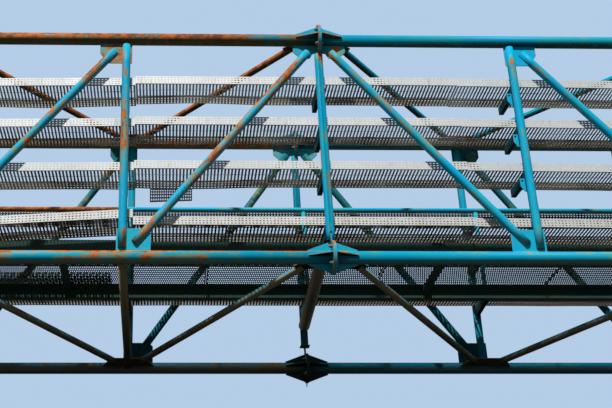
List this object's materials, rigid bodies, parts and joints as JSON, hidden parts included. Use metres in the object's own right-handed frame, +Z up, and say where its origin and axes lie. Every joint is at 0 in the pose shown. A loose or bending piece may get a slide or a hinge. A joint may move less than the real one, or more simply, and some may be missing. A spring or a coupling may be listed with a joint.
{
  "type": "steel footbridge section",
  "caption": "Tubular steel box-truss footbridge with a perforated walkway, handrail, flanged chord joints and rows of perforated cable trays on bracket arms.",
  "frame": {"origin": "on the ground under the middle of the bridge, midway between the two trusses", "axes": "+X along the bridge, +Y from the front truss to the rear truss, +Z up"},
  "size_m": [12.7148, 2.725, 3.425],
  "materials": {
    "galvanised_tray": "weathered zinc",
    "perforated_floor": "worn dark paint",
    "foot_steel": "worn satin paint",
    "deck_paint": "worn satin paint",
    "chord_paint": "chipped satin paint over rust",
    "joint_paint": "chipped satin paint over rust",
    "arm_paint": "worn satin paint",
    "rail_paint": "chipped satin paint over rust",
    "tube_paint": "chipped satin paint over rust"
  },
  "bodies": {
    "root": {"bottom_bracing": "tube_paint", "bottom_bracing_plates": "joint_paint", "cross_struts": "tube_paint", "front_bearing_feet": "foot_steel", "front_bottom_chord_left": "chord_paint", "front_bottom_chord_right": "chord_paint", "front_bottom_flange_joints": "joint_paint", "front_diagonals": "tube_paint", "front_gusset_plates": "joint_paint", "front_posts": "tube_paint", "front_top_chord_left": "chord_paint", "front_top_chord_right": "chord_paint", "front_top_flange_joints": "joint_paint", "front_tray_1": "galvanised_tray", "front_tray_2": "galvanised_tray", "front_tray_3": "galvanised_tray", "front_tray_4": "galvanised_tray", "front_tray_arms_1": "arm_paint", "front_tray_arms_2": "arm_paint", "front_tray_arms_3": "arm_paint", "front_tray_arms_4": "arm_paint", "handrail": "rail_paint", "handrail_posts": "rail_paint", "loose_tray_on_deck": "galvanised_tray", "middle_post_hanger": "joint_paint", "rear_bearing_feet": "foot_steel", "rear_bottom_chord_left": "chord_paint", "rear_bottom_chord_right": "chord_paint", "rear_bottom_flange_joints": "joint_paint", "rear_diagonals": "tube_paint", "rear_gusset_plates": "joint_paint", "rear_posts": "tube_paint", "rear_top_chord_left": "chord_paint", "rear_top_chord_right": "chord_paint", "rear_top_flange_joints": "joint_paint", "rear_tray_1": "galvanised_tray", "rear_tray_2": "galvanised_tray", "rear_tray_3": "galvanised_tray", "rear_tray_arms_1": "arm_paint", "rear_tray_arms_2": "arm_paint", "rear_tray_arms_3": "arm_paint", "top_bracing": "tube_paint", "top_bracing_plates": "joint_paint", "walkway_far_beam": "deck_paint", "walkway_floor": "perforated_floor", "walkway_joists": "deck_paint", "walkway_near_beam": "deck_paint"}
  },
  "joints": []
}
